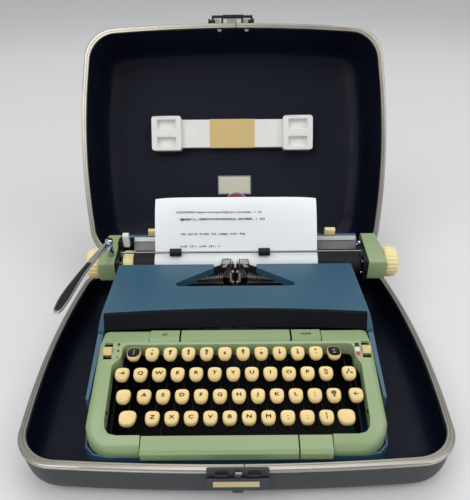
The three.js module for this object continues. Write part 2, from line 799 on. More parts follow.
// Carrying handle on the lid's front wall, folded flat along it
const lidFrontY = -hingeY - caseHalfDepth;
const handlePlateFace = lidFrontY - seatGap - handlePlateThickness;
const handlePivotY = handlePlateFace - seatGap - handleGripRadius;
const plateOutline = rounded(rectangle(
  handleShift - handlePlateHalfWidth, handleShift + handlePlateHalfWidth, handlePlateFrom, handlePlateTo),
  half(handlePlateThickness) + handlePlateThickness);
const postBore = handlePostRadius + runGap;
const eyeRadius = postBore + handlePlateThickness;
const eyeThickness = handlePostRadius;
const handleEyes = [-1, 1].map((side) => {
  const outer = handleShift + side * (handleHalfSpan + handleGripRadius + runGap);
  const from = Math.min(outer, outer + side * eyeThickness);
  const ear = rodX(eyeRadius, from, from + eyeThickness, handlePivotY, handlePivotDepth, rodSides);
  const web = box(from, from + eyeThickness, handlePivotY, handlePlateFace + half(handlePlateThickness),
    handlePivotDepth - handlePostRadius, handlePivotDepth + handlePostRadius);
  return ear.add(web);
});
const handlePin = rodX(postBore, handleShift - handlePlateHalfWidth * 2,
  handleShift + handlePlateHalfWidth * 2, handlePivotY, handlePivotDepth, rodSides);
piece("handle_plate", cut(join(
  prismY(plateOutline, handlePlateFace, lidFrontY + handlePlateThickness * 2), ...handleEyes), handlePin,
  inLid(dishBlock(lidDepth, lidBottomInset, lidCurveShares))), blackMetal, lid);
const gripEnd = handlePivotDepth + handleReach;
const gripPath = rounded([
  [handleShift - handleHalfSpan, handlePivotDepth], [handleShift - handleHalfSpan, gripEnd],
  [handleShift + handleHalfSpan, gripEnd], [handleShift + handleHalfSpan, handlePivotDepth],
], [0, handleGripRadius * 2, handleGripRadius * 2, 0]);
const gripCurve = new THREE.CurvePath();
for (let i = 0; i + 1 < gripPath.length; i++) {
  const [a, b] = [gripPath[i], gripPath[i + 1]].map(([x, z]) => new THREE.Vector3(x, handlePivotY, z));
  gripCurve.add(new THREE.LineCurve3(a, b));
}
const gripSection = new THREE.Shape().absarc(0, 0, handleGripRadius, 0, Math.PI * 2);
const grip = solid(new THREE.ExtrudeGeometry(gripSection, {
  steps: 20, curveSegments: half(rodSides), bevelEnabled: false, extrudePath: gripCurve }));
const gripHub = (side) => {
  const x = handleShift + side * handleHalfSpan;
  return rodX(handleGripRadius, x - handleGripRadius, x + handleGripRadius, handlePivotY, handlePivotDepth);
};
const gripPosts = rodX(handlePostRadius,
  handleShift - handleHalfSpan - handleGripRadius - runGap - eyeThickness,
  handleShift - handleHalfSpan, handlePivotY, handlePivotDepth)
  .add(rodX(handlePostRadius, handleShift + handleHalfSpan,
    handleShift + handleHalfSpan + handleGripRadius + runGap + eyeThickness, handlePivotY, handlePivotDepth));
piece("handle", join(grip, gripHub(-1), gripHub(1), gripPosts), blackMetal, lid);

// Latch on the tray's front wall: a slotted plate and a hinged flap with a pull tab
const latchBackFace = -caseHalfDepth - trimProud - seatGap;
const latchFace = latchBackFace - latchPlateThickness;
const latchFrom = latchShift - latchHalfWidth;
const latchTo = latchShift + latchHalfWidth;
const latchPlate = prismY(rounded(rectangle(latchFrom, latchTo, latchPlateBottom, latchPlateTop),
  latchPlateThickness), latchFace, latchBackFace);
const slotMiddle = latchPlateTop - latchSlotDrop - half(latchSlotHeight);
const latchSlots = [latchShift - latchSlotSpread, latchShift + latchSlotSpread].map((x) =>
  box(x - half(latchSlotWidth), x + half(latchSlotWidth), latchFace - overrun, latchBackFace + overrun,
    slotMiddle - half(latchSlotHeight), slotMiddle + half(latchSlotHeight)));
const strikerTop = latchPlateTop - latchSlotDrop;
const striker = box(latchShift - strikerHalfWidth, latchShift + strikerHalfWidth, latchFace - strikerProud,
  latchFace + half(latchPlateThickness), strikerTop - strikerHeight, strikerTop);
piece("latch_plate", cut(latchPlate, ...latchSlots).add(striker), blackMetal, tray);
const flapBack = latchFace - seatGap;
const flapAxisY = flapBack - flapBarrelRadius;
const flapAxisZ = flapTop;
const flapPlate = box(latchFrom, latchTo, flapBack - flapThickness, flapBack, flapBottom, flapTop);
const flapTab = prismY(rounded([
  [-flapTabHalfWidth, flapBottom + flapThickness], [-flapTabHalfWidth, flapBottom - flapTabDrop],
  [flapTabHalfWidth, flapBottom - flapTabDrop], [flapTabHalfWidth, flapBottom + flapThickness],
], [0, flapThickness, flapThickness, 0]), flapBack - flapThickness, flapBack).translate([latchShift, 0, 0]);
piece("latch_flap", join(flapPlate, flapTab,
  rodX(flapBarrelRadius, latchFrom, latchTo, flapAxisY, flapAxisZ)), blackMetal, tray);

// Foam packing on the lid's floor: two end blocks with square cups and a lower waist
const foamBack = trimHeight + lidDepth - caseWall - seatGap;
const foamFrom = foamShift - foamHalfLength;
const foamTo = foamShift + foamHalfLength;
const foamWaist = box(foamFrom + half(foamEndLength), foamTo - half(foamEndLength),
  -foamFar + foamWaistInset, -foamNear - foamWaistInset, foamBack - foamWaistHeight, foamBack);
const foamEnds = [foamFrom, foamTo - foamEndLength].map((x) =>
  prismZ(rounded(rectangle(x, x + foamEndLength, -foamFar, -foamNear), foamWaistInset),
    foamBack - foamHeight, foamBack));
const foamMiddleY = -mid(foamNear, foamFar);
const cupStep = half(foamFar - foamNear) / 2;
const foamCups = [foamFrom + half(foamEndLength), foamTo - half(foamEndLength)].flatMap((x) =>
  [foamMiddleY - cupStep, foamMiddleY + cupStep].map((y) =>
    box(x - foamCup, x + foamCup, y - half(foamCup), y + half(foamCup),
      foamBack - foamHeight - overrun, foamBack - foamHeight + foamCupDepth)));
piece("foam_packing", cut(join(foamWaist, ...foamEnds), ...foamCups), whiteFoam, lid);

// Typewriter body
const machine = new THREE.Group();
machine.position.z = caseWall;
root.add(machine);

const panPlan = (inset) => rounded(rectangle(
  -panHalfWidth + inset, panHalfWidth - inset, panFront + inset, bodyBack - inset), panCorner - inset);
const panBlockOf = (inset, bottom, top) => loft([
  ...panCurveShares.map(([up, inward]) =>
    atHeight(panPlan(inset + panBevel * inward), bottom + panBevel * up)),
  atHeight(panPlan(inset), top)]);
const panBlock = panBlockOf(0, footHeight, panCornerTop)
  .subtract(panBlockOf(panWall, footHeight + panFloor, panCornerTop + overrun));
const panShell = cut(panBlock,
  box(-bodyHalfWidth, bodyHalfWidth, panRaisedBack, bodyBack + overrun, panTop, panCornerTop + overrun),
  box(-spaceNotchHalfWidth, spaceNotchHalfWidth, panFront - overrun, panRaisedBack, panTop,
    panCornerTop + overrun));
const feet = [-footX, footX].flatMap((x) => [-footY, footY].map((y) =>
  rodZ(footRadius, 0, footHeight + half(panFloor), x, y, rodSides * 2)));
piece("base_pan", join(panShell, ...feet), bluePaint, machine);

// The keyboard frame's half width along its depth: narrower at the back, rounded in at the front corners
function frameHalfAt(y, inset) {
  const widest = frameFront + frameCorner;
  const narrowing = frameBackNarrowing * Math.max(0, (y - widest) / (frameBack - widest));
  const corner = frameCorner - inset;
  const run = THREE.MathUtils.clamp(y - frameFront - inset, 0, corner);
  const rounding = corner - Math.sqrt(corner ** 2 - (corner - run) ** 2);
  return frameHalfWidth - narrowing - inset - rounding;
}

// Side and rear walls, cut along the keyboard's slope and low behind for the carriage
const bodyBottom = panTop + seatGap;
const fasciaTopHeight = coverFrontHeight - half(coverWall);
const bodyProfile = [
  [bodyFront, bodyBottom], [bodyBack, bodyBottom], [bodyBack, bodyRearTop], [bodyStepY, bodyRearTop],
  [bodyStepY, bodyShoulder], [coverFrontSides, bodyShoulder], [fasciaFootSides, bodyShoulder],
  [bodyFront, bodyFrontTop - half(bodyWall)],
];
const bodyPlan = rounded(rectangle(-bodyHalfWidth, bodyHalfWidth, bodyFront, bodyBack),
  [0, 0, bodyCorner, bodyCorner]);
const innerFront = frameHalfAt(bodyFront, 0) + frameSideGap;
const innerBack = frameHalfAt(frameBack, 0) + frameSideGap;
const innerSide = bodyHalfWidth - bodyWall;
const innerCorner = bodyCorner - bodyWall;
const bodyInside = rounded([
  [-innerFront, bodyFront - overrun], [innerFront, bodyFront - overrun], [innerBack, frameBack],
  [innerBack, coverFrontSides], [innerSide, coverFrontSides + cheekWidth],
  [innerSide, bodyBack - bodyWall], [-innerSide, bodyBack - bodyWall],
  [-innerSide, coverFrontSides + cheekWidth], [-innerBack, coverFrontSides], [-innerBack, frameBack],
], [0, 0, 0, 0, 0, innerCorner, innerCorner, 0, 0, 0]);
piece("body_housing", prismX(bodyProfile, -bodyHalfWidth - overrun, bodyHalfWidth + overrun)
  .intersect(prismZ(bodyPlan, 0, coverFrontHeight))
  .subtract(prismZ(bodyInside, 0, coverFrontHeight)), bluePaint, machine);

// Top cover: a crowned plate with side walls, a back lip and a flanged type opening
const bow = (x, sides, middle) => middle + (sides - middle) * (x / crownHalfWidth) ** 2;
const cheekInner = bodyHalfWidth - cheekWidth;
function bowedFront() {
  const points = [];
  for (let i = 0; i <= fasciaStations; i++) {
    const x = cheekInner * ((2 * i) / fasciaStations - 1);
    points.push([x, bow(x, coverFrontSides, coverFrontMiddle)]);
  }
  return points;
}
const coverStart = fasciaFootSides - overrun;
const coverSection = (inset) => {
  const side = bodyHalfWidth - inset;
  const crown = crownHalfWidth - inset;
  const top = coverFrontHeight + overrun;
  const foot = bodyShoulder + seatGap;
  return [[-side, foot - (inset ? overrun : 0)], [side, foot - (inset ? overrun : 0)],
    [crown + half(coverEdgeRadius), coverBackHeight - coverEdgeRadius], [crown - half(coverEdgeRadius), top],
    [-crown + half(coverEdgeRadius), top],
    [-crown - half(coverEdgeRadius), coverBackHeight - coverEdgeRadius]];
};
const coverRoof = (drop) => prismX([
  [coverStart, 0], [coverBack - (drop ? coverWall : 0), 0],
  [coverBack - (drop ? coverWall : 0), coverBackHeight - drop],
  [coverFrontSides - overrun, coverFrontHeight - drop], [coverStart, coverFrontHeight - drop],
], -bodyHalfWidth, bodyHalfWidth);
const slotPlan = rounded([
  [-slotTipX, slotTipY], [-slotTipX + slotCorner, slotFront], [slotTipX - slotCorner, slotFront],
  [slotTipX, slotTipY], [slotThroatX, slotThroatY], [slotThroatX, coverBack + overrun],
  [-slotThroatX, coverBack + overrun], [-slotThroatX, slotThroatY],
], [slotCorner, slotCorner, slotCorner, slotCorner, slotThroatCorner, 0, 0, slotThroatCorner]);
const grown = slotPlan.map(([x, y]) => [x * (1 + coverWall / slotThroatX), y < slotThroatY - slotThroatCorner
  ? y - coverWall : y]);
const flange = prismZ(grown, coverBackHeight - slotFlange, coverFrontHeight);
const frontCut = prismZ([...bowedFront(), [cheekInner, frameFront], [-cheekInner, frameFront]],
  0, coverFrontHeight + overrun);
const fasciaTopFront = coverFrontSides - fasciaGap - fasciaThickness;
const cheekFace = prismX([
  [coverStart - overrun, 0], [fasciaFootSides, 0], [fasciaFootSides, fasciaFootHeight],
  [fasciaTopFront, fasciaTopHeight], [fasciaTopFront, coverFrontHeight + overrun],
  [coverStart - overrun, coverFrontHeight + overrun],
], -bodyHalfWidth - overrun, bodyHalfWidth + overrun);
const cheeks = [-1, 1].map((side) => moved(
  box(-half(cheekWidth), half(cheekWidth), coverStart, coverFrontSides + coverWall, 0, coverFrontHeight),
  side * (cheekInner + half(cheekWidth)), 0, 0));
const coverOuter = coverRoof(0).intersect(prismY(coverSection(0), coverStart, coverBack));
const coverInner = coverRoof(coverWall).intersect(prismY(coverSection(coverWall), coverStart, coverBack));
const lipInner = box(-crownHalfWidth + coverWall, crownHalfWidth - coverWall,
  coverBack - coverWall * 2, coverBack + overrun, 0, coverBackHeight - coverBackLip);
piece("top_cover", cut(coverOuter, cut(coverInner, flange, ...cheeks), lipInner,
  prismZ(slotPlan, 0, coverFrontHeight + overrun), frontCut, cheekFace), bluePaint, machine);

// Fascia: a sloped band whose upper edge follows the cover's bowed front
const fasciaHalfWidth = cheekInner - seatGap;
const fasciaRings = [];
for (let i = 0; i <= fasciaStations; i++) {
  const x = fasciaHalfWidth * ((2 * i) / fasciaStations - 1);
  const topY = bow(x, coverFrontSides, coverFrontMiddle) - fasciaGap;
  const footY = bow(x, fasciaFootSides, fasciaFootMiddle);
  fasciaRings.push([
    [x, topY, fasciaTopHeight], [x, topY - fasciaThickness, fasciaTopHeight],
    [x, footY, fasciaFootHeight], [x, footY + fasciaThickness, fasciaFootHeight],
  ]);
}
piece("fascia_band", loft(fasciaRings), blackPaint, machine);

// Keyboard frame: sloped and hollow, with round edges, a lipped key well, notches for the bars and two slots
const frameLine = rounded([
  [frameBack, frameShelfHeight], [frameShelf, frameShelfHeight], [frameSlopeEnd, frameSlopeEndHeight],
  [frameFrontShoulder, frameFrontShoulderHeight], [frameFront, frameFrontTop],
], [0, frameBend, frameCorner, frameBend, 0]);
const frameRoof = (drop) => prismX([
  ...frameLine.map(([y, z]) => [y, z - drop]), [frameFront, -overrun], [frameBack, -overrun],
], -frameHalfWidth, frameHalfWidth);
function frameTopAt(y) {
  const next = frameLine.findIndex(([at], i) => i > 0 && at <= y);
  const [y0, z0] = frameLine[next - 1];
  const [y1, z1] = frameLine[next];
  return z0 + (z1 - z0) * ((y - y0) / (y1 - y0));
}

// The frame's outer skin, or its inner one with an inset, through cross sections from the back to the front
function frameSkin(inset) {
  const places = frameLine.map(([y]) => y);
  for (let i = 1; i < frameCornerSteps; i++) {
    const angle = (i / frameCornerSteps) * half(Math.PI);
    places.push(frameFront + frameCorner * (1 - Math.sin(angle)));
  }
  places.sort((a, b) => b - a);
  const rings = [];
  places.forEach((place) => {
    const y = Math.max(place, frameFront + inset);
    if (rings.length && rings.at(-1)[0][1] - y < seatGap) return;
    const side = frameHalfAt(y, inset);
    const radius = frameEdgeRadius - inset;
    const top = frameTopAt(y) - inset;
    const right = [];
    for (let i = 0; i <= frameEdgeSteps; i++) {
      const angle = (i / frameEdgeSteps) * half(Math.PI);
      right.push([side - radius + radius * Math.cos(angle), y, top - radius + radius * Math.sin(angle)]);
    }
    const left = [...right].reverse().map(([x, , z]) => [-x, y, z]);
    rings.push([[side, y, -overrun - inset], ...right, ...left, [-side, y, -overrun - inset]]);
  });
  if (inset) rings.unshift(rings[0].map(([x, , z]) => [x, frameBack + overrun, z]));
  return loft(rings);
}
const frameSkirt = prismX([
  [frameFront - overrun, frameBottom], [frameSkirtBreak, frameBottom],
  [frameBack + overrun, frameSkirtBackHeight],
  [frameBack + overrun, -overrun * 2], [frameFront - overrun, -overrun * 2],
], -frameHalfWidth - overrun, frameHalfWidth + overrun);
const wellPlan = (grow) => rounded([
  [wellLeft - grow, wellFront - grow], [wellRight + grow, wellFront - grow],
  [wellRight + grow, wellStepFront + half(grow)], [wellStepRight + grow, wellStepBack + half(grow)],
  [wellStepRight + grow, wellBack + grow], [wellStepLeft - grow, wellBack + grow],
  [wellStepLeft - grow, wellStepBack + half(grow)], [wellLeft - grow, wellStepFront + half(grow)],
], [wellCorner + grow, wellCorner + grow, wellBackCorner, wellBackCorner, wellBackCorner, wellBackCorner,
  wellBackCorner, wellBackCorner]);
const high = coverFrontHeight + overrun;
const wellLip = prismZ(wellPlan(frameWall), 0, high).subtract(frameRoof(frameLip));
const barNotch = box(-barNotchHalfWidth, barNotchHalfWidth, barNotchFront, frameBack + overrun, 0, high);
const spaceNotch = box(-spaceNotchHalfWidth, spaceNotchHalfWidth, frameFront - overrun,
  wellFront + wellCorner, frameBottom - overrun, high);
const selectorPlaces = [selectorLeftX, selectorRightX];
const selectorSlots = selectorPlaces.map((x) =>
  box(x - half(selectorSlotWidth), x + half(selectorSlotWidth),
    selectorY - half(selectorSlotLength), selectorY + half(selectorSlotLength), 0, high));
piece("keyboard_frame", cut(frameSkin(0), frameSkirt, frameSkin(frameWall).subtract(wellLip),
  prismZ(wellPlan(0), 0, high), barNotch, spaceNotch, ...selectorSlots), greenPaint, machine);

// Chassis: side plates with the rods' bearings, a floor, ribbon decks, a cross bar and the carriage rail
const chassisBottom = footHeight + panFloor;
const plateInner = rodHalfLength + runGap;
const plateBack = bodyBack - panWall * 2 - runGap;
const plateProfile = [
  [chassisFront, chassisBottom], [plateBack - panBevel, chassisBottom], [plateBack, chassisBottom + panBevel],
  [plateBack, railTop - railHeight], [crossBarBack, railTop - railHeight],
  [crossBarBack, crossBarTop], [bodyStepY, crossBarTop], [bodyStepY, deckTop],
  [bearingBack + half(overrun), deckTop], [bearingBack, bearingTop], [bearingFront, bearingTop],
  [chassisKneeY, chassisKneeHeight], [chassisFront, chassisFrontHeight],
];
const sidePlates = [-1, 1].map((side) => {
  const inner = side * plateInner;
  const outer = side * (plateInner + chassisPlateThickness);
  return prismX(plateProfile, Math.min(inner, outer), Math.max(inner, outer));
});
const plateOuter = plateInner + chassisPlateThickness;
const floorPlate = box(-plateOuter, plateOuter, chassisFront, basketBack, chassisBottom,
  chassisBottom + chassisFloor);
const frontWall = box(-plateOuter, plateOuter, chassisFront, chassisFront + chassisFloor, chassisBottom,
  chassisFrontHeight);
const decks = [-1, 1].map((side) =>
  box(Math.min(side * deckInner, side * plateOuter), Math.max(side * deckInner, side * plateOuter),
    deckFront, deckBack, deckTop - deckThickness, deckTop));
const spoolPosts = [-spoolX, spoolX].map((x) =>
  rodZ(spoolPostRadius, deckTop - half(deckThickness), deckTop + spoolPostRise, x, spoolY));
const basketGuides = [-1, 1].map((side) => {
  const near = side * (basketFootHalfWidth + runGap);
  const far = near + side * basketGuideWidth;
  return box(Math.min(near, far), Math.max(near, far), basketFront, basketBack,
    chassisBottom + half(chassisFloor), basketGuideTop);
});
const rail = box(-plateOuter, plateOuter, railFront, railBack, railTop - railHeight, railTop);
const crossBar = box(-plateOuter, plateOuter, crossBarFront, crossBarBack, crossBarBottom, crossBarTop);
piece("chassis", join(...sidePlates, floorPlate, frontWall, ...decks, ...spoolPosts, ...basketGuides, rail,
  crossBar), blackMetal, machine);

["left", "right"].forEach((side, i) => {
  const x = i ? spoolX : -spoolX;
  const bore = spoolPostRadius + runGap;
  const spool = turnedZ([
    [bore, 0], [spoolRadius, 0], [spoolRadius, spoolFlange], [spoolCoreRadius, spoolFlange],
    [spoolCoreRadius, spoolHeight - spoolFlange], [spoolRadius, spoolHeight - spoolFlange],
    [spoolRadius, spoolHeight], [bore, spoolHeight], [bore, 0],
  ], rodSides * 2);
  piece("ribbon_spool_" + side, spool, blackMetal, machine).position.set(x, spoolY, deckTop + seatGap);
});

// Type basket: the segment's arc with its resting type bars, on a foot that slides down for shift
const arcPoint = (radius, angle) =>
  [radius * Math.sin(angle), strikeHeight - radius * Math.cos(angle)];
function arcBand(inner, outer, end) {
  const points = [];
  for (let i = 0; i <= basketArcSteps; i++) {
    points.push(arcPoint(outer, end * ((2 * i) / basketArcSteps - 1)));
  }
  for (let i = basketArcSteps; i >= 0; i--) {
    points.push(arcPoint(inner, end * ((2 * i) / basketArcSteps - 1)));
  }
  return points;
}

// One type bar at rest, drawn about its pivot: a tapered bar with the type slug on its upper face
function typeBar() {
  const tip = -basketRadius;
  const bar = prismX([
    [barRoot, -half(barDepth)], [barRoot, half(barDepth)],
    [tip, half(barDepth) - half(barThickness)], [tip, -half(barDepth) + half(barThickness)],
  ], -half(barThickness), half(barThickness));
  const slug = box(-half(slugWidth), half(slugWidth), tip, tip + slugLength, -half(barDepth), slugProud);
  return bar.add(slug).rotate([-barRestAngle, 0, 0]);
}
const pivotHeight = strikeHeight - basketRadius;
const segmentArc = prismY(arcBand(basketInnerRadius, basketOuterRadius, rad(basketEndAngle)),
  basketFront, basketBack);
const basketFoot = box(-basketFootHalfWidth, basketFootHalfWidth, basketFront, basketBack, basketFootBottom,
  strikeHeight - mid(basketRadius, basketOuterRadius));
const rootSwing = Math.hypot(barRoot, half(barDepth)) + runGap;
const freeSlot = box(-half(barThickness) - runGap, half(barThickness) + runGap, basketFront - overrun,
  strikeY + rootSwing, pivotHeight - rootSwing, strikeHeight);
const restingBars = [];
for (let i = -barsEachSide; i <= barsEachSide; i++) {
  if (i === 0) continue;
  const placed = moved(typeBar(), 0, 0, -basketRadius).rotate([0, -i * barPitchAngle, 0]);
  restingBars.push(moved(placed, 0, strikeY, strikeHeight));
}
piece("type_basket", cut(join(segmentArc, basketFoot), freeSlot).add(join(...restingBars)), steel, machine);
piece("typebar_h", typeBar(), steel, machine).position.set(0, strikeY, pivotHeight);

// Type guide in front of the platen, on two arms from the cross bar, with the two card holders
const guideBack = guideY + guideThickness;
const guidePlate = box(-guideHalfWidth, guideHalfWidth, guideY, guideBack, guideBottom, guideTop);
const guideSlot = box(-guideSlotHalfWidth, guideSlotHalfWidth, guideY - overrun, guideBack + overrun,
  guideSlotBottom, guideTop + overrun);
const guideArm = prismX([
  [crossBarFront, crossBarTop + seatGap], [crossBarBack, crossBarTop + seatGap],
  [crossBarBack, crossBarTop + seatGap + guideThickness], [guideBack, guideBottom + guideThickness],
  [guideY, guideBottom + guideThickness], [guideY, guideBottom],
], -guideHalfWidth, guideHalfWidth);
piece("type_guide", guidePlate.subtract(guideSlot).add(guideArm), chrome, machine);
["left", "right"].forEach((side, i) => {
  const sign = i ? 1 : -1;
  const near = sign * (guideHalfWidth + seatGap);
  const far = sign * cardHolderOuter;
  const blade = prismY([
    [near, cardHolderBottom], [far, cardHolderBottom], [far - sign * cardHolderTaper, cardHolderTop],
    [near + sign * cardHolderTaper, cardHolderTop],
  ], 0, cardHolderThickness);
  const lean = new THREE.Group();
  lean.position.set(0, guideY, cardHolderBottom);
  lean.rotation.x = -Math.atan2(cardHolderLean, cardHolderTop - cardHolderBottom);
  machine.add(lean);
  piece("card_holder_" + side, moved(blade, 0, 0, -cardHolderBottom), clearPlastic, lean);
});

// Keyboard

// A key cap: rings of a rounded trapezoid, dished on top, its middle top at the origin
function keyCap(width, depth) {
  const rings = capRingShares.map(([scale, up]) => {
    const ring = [];
    for (let i = 0; i < capSides; i++) {
      const angle = ((i + half(1)) / capSides) * Math.PI * 2;
      const c = Math.cos(angle);
      const s = Math.sin(angle);
      const across = Math.sign(c) * Math.abs(c) ** capSquareness;
      const along = Math.sign(s) * Math.abs(s) ** capSquareness;
      const narrow = 1 - capFrontNarrowShare * half(1 - along);
      ring.push([half(width) * scale * across * narrow, half(depth) * scale * along, up * capHeight]);
    }
    return ring;
  });
  return loft(rings);
}

// A key lever: an L from its pivot forward to the key and up into the cap
function lever(x, thickness, fromY, pivotZ, toY, topZ) {
  const low = pivotZ - half(leverHeight);
  return prismX([
    [fromY + half(leverHeight), low], [toY - half(leverHeight), low], [toY - half(leverHeight), topZ],
    [toY + half(leverHeight), topZ], [toY + half(leverHeight), low + leverHeight],
    [fromY + half(leverHeight), low + leverHeight],
  ], x - half(thickness), x + half(thickness));
}
const capBottom = (top) => top - capHeight;
const keyAt = (x, row, width = capWidth, depth = capDepth) =>
  moved(keyCap(width, depth), x, rowY[row], rowTop[row]);
const intoCap = (row) => capBottom(rowTop[row]) + half(leverHeight);
const rowLever = (x, row) =>
  lever(x, leverThickness, pivotY, rowPivotHeight[row], rowY[row], intoCap(row));
const rowX = (row, i) => keyPitch * (rowStartShares[row] + i);

for (let row = 0; row < rowY.length; row++) {
  const parts = [rodX(rodRadius, -rodHalfLength, rodHalfLength, pivotY, rowPivotHeight[row])];
  for (let i = 0; i < rowKeys[row]; i++) {
    if (row === homeRow && i === homeKeyOfH) continue;
    parts.push(rowLever(rowX(row, i), row), keyAt(rowX(row, i), row));
  }
  piece("keys_row_" + (row + 1), join(...parts), ivoryKey, machine);
}
const keyHx = rowX(homeRow, homeKeyOfH);
const keyHhub = rodX(leverHubRadius, keyHx - half(leverThickness), keyHx + half(leverThickness), pivotY,
  rowPivotHeight[homeRow], rodSides * 2);
const keyHbore = rodX(rodRadius + runGap, keyHx - leverThickness, keyHx + leverThickness, pivotY,
  rowPivotHeight[homeRow]);
piece("key_h", cut(join(rowLever(keyHx, homeRow), keyHhub), keyHbore).add(keyAt(keyHx, homeRow)),
  ivoryKey, machine);

// Keys at the ends of the rows, each on a lever with its own pin to the side plate
const tabRow = 1;
const shiftLockRow = 2;
const shiftRow = 3;
const sideKeys = [
  ["tab_key", tabRow, tabKeyShare, tabLeverShare, upperSidePivotHeight, capWidth],
  ["shift_lock_key", shiftLockRow, shiftLockKeyShare, shiftLockLeverShare, middleSidePivotHeight, capWidth],
  ["shift_key_left", shiftRow, shiftLeftKeyShare, shiftLeftLeverShare, lowerSidePivotHeight, shiftCapWidth],
  ["margin_release_key", tabRow, marginReleaseKeyShare, 0, upperSidePivotHeight, capWidth],
  ["backspace_key", shiftLockRow, backspaceKeyShare, 0, middleSidePivotHeight, capWidth],
  ["shift_key_right", shiftRow, shiftRightKeyShare, shiftRightLeverShare, lowerSidePivotHeight,
    shiftCapWidth],
];
sideKeys.forEach(([name, row, keyShare, leverShare, pivot, width]) => {
  const x = keyPitch * keyShare;
  const leverX = x + keyPitch * leverShare;
  const plate = Math.sign(x) * rodHalfLength;
  const pin = rodX(sidePinRadius, Math.min(leverX, plate), Math.max(leverX, plate), sidePivotY, pivot);
  const topZ = Math.max(intoCap(row), pivot + half(leverHeight) + weld);
  const arm = lever(leverX, leverThickness, sidePivotY, pivot, rowY[row], topZ);
  piece(name, join(pin, arm, keyAt(x, row, width, capDepth + half(width - capWidth))), ivoryKey, machine);
});

// Tabulator bar with its set and clear keys, behind the key rows
function topBar(name, from, to, pivot, rodFrom, rodTo, armXs) {
  const bar = prismX([
    [topBarBack, topBarTop], [topBarFront + topBarBevel, topBarTop], [topBarFront, topBarTop - topBarBevel],
    [topBarFront, topBarTop - topBarLip], [topBarFront + topBarThickness, topBarTop - topBarLip],
    [topBarFront + topBarThickness, topBarTop - topBarThickness], [topBarBack, topBarTop - topBarThickness],
  ], from, to);
  const arms = armXs.map((x) =>
    lever(x, barArmThickness, pivotY, pivot, topBarArmY, topBarTop - half(topBarThickness)));
  piece(name, join(bar, rodX(sidePinRadius, rodFrom, rodTo, pivotY, pivot), ...arms), greenPaint, machine);
}
topBar("tab_set_key", setKeyFrom, setKeyTo, setPivotHeight, -rodHalfLength, -barEndArmX, [-barEndArmX]);
topBar("tab_clear_key", clearKeyFrom, clearKeyTo, setPivotHeight, barEndArmX, rodHalfLength, [barEndArmX]);
topBar("tabulator_bar", tabBarFrom, tabBarTo, topBarPivotHeight, -rodHalfLength, rodHalfLength,
  [-barInnerArmX, barInnerArmX]);

// Space bar and power space bar along the front edge
function frontBar(name, from, to, pivot, rodFrom, rodTo, armXs) {
  const drop = spaceBarThickness;
  const bar = prismX([
    [spaceBarBack, spaceBarBackHeight], [spaceBarShoulder, spaceBarShoulderHeight],
    [spaceBarFront, spaceBarShoulderHeight - drop], [spaceBarFront, spaceBarLipHeight],
    [spaceBarFront + drop, spaceBarLipHeight], [spaceBarFront + drop, spaceBarShoulderHeight - drop * 2],
    [spaceBarBack, spaceBarBackHeight - drop],
  ], from, to);
  const arms = armXs.map((x) =>
    lever(x, barArmThickness, pivotY, pivot, spaceArmY - half(leverHeight - drop),
      spaceBarBackHeight - drop));
  piece(name, join(bar, rodX(sidePinRadius, rodFrom, rodTo, pivotY, pivot), ...arms), greenPaint, machine);
}
frontBar("space_bar", spaceBarFrom, spaceBarTo, spacePivotHeight, -rodHalfLength, rodHalfLength,
  [-barEndArmX, barInnerArmX]);
frontBar("power_space_bar", powerBarFrom, powerBarTo, powerPivotHeight, barEndArmX, rodHalfLength,
  [barEndArmX]);

// Touch and ribbon selectors: thumb pieces that slide along the frame's slope
const frameSlope = Math.atan2(frameShelfHeight - frameSlopeEndHeight, frameShelf - frameSlopeEnd);
const selectorSurface = frameShelfHeight - (frameShelf - selectorY) * Math.tan(frameSlope);
["touch_selector", "ribbon_selector"].forEach((name, i) => {
  const halfWidth = half(selectorSlotWidth) - runGap;
  const thumb = prismX(rounded([
    [-half(selectorLength), -selectorSunk], [half(selectorLength), -selectorSunk],
    [half(selectorLength), 0], [0, selectorProud], [-half(selectorLength), 0],
  ], [0, 0, half(runGap), runGap, half(runGap)]), -halfWidth, halfWidth);
  const mesh = piece(name, thumb, ivoryKey, machine);
  mesh.position.set(selectorPlaces[i], selectorY, selectorSurface);
  mesh.rotation.x = frameSlope;
});

// Carriage
const carriage = new THREE.Group();
carriage.position.set(0, platenY, platenHeight);
machine.add(carriage);

const plateLeft = platenRingLeft - endPlateGap;
const plateRight = platenRight + endPlateGap;
const coverLeftInner = plateLeft - endPlateThickness - seatGap;
const coverRightInner = plateRight + endPlateThickness + seatGap;
const shaftLeft = coverLeftOuter - seatGap - knobBoreDepth + runGap;
const shaftRight = coverRightOuter + seatGap + knobBoreDepth - runGap;
const shaftBore = platenShaftRadius + runGap;

piece("platen", turnedX([
  [0, shaftLeft], [platenShaftRadius, shaftLeft], [platenShaftRadius, platenRingLeft],
  [platenRadius, platenRingLeft], [platenRadius, platenLeft], [platenRadius, platenRight],
  [platenShaftRadius, platenRight], [platenShaftRadius, shaftRight], [0, shaftRight],
]), blackRubber, carriage);

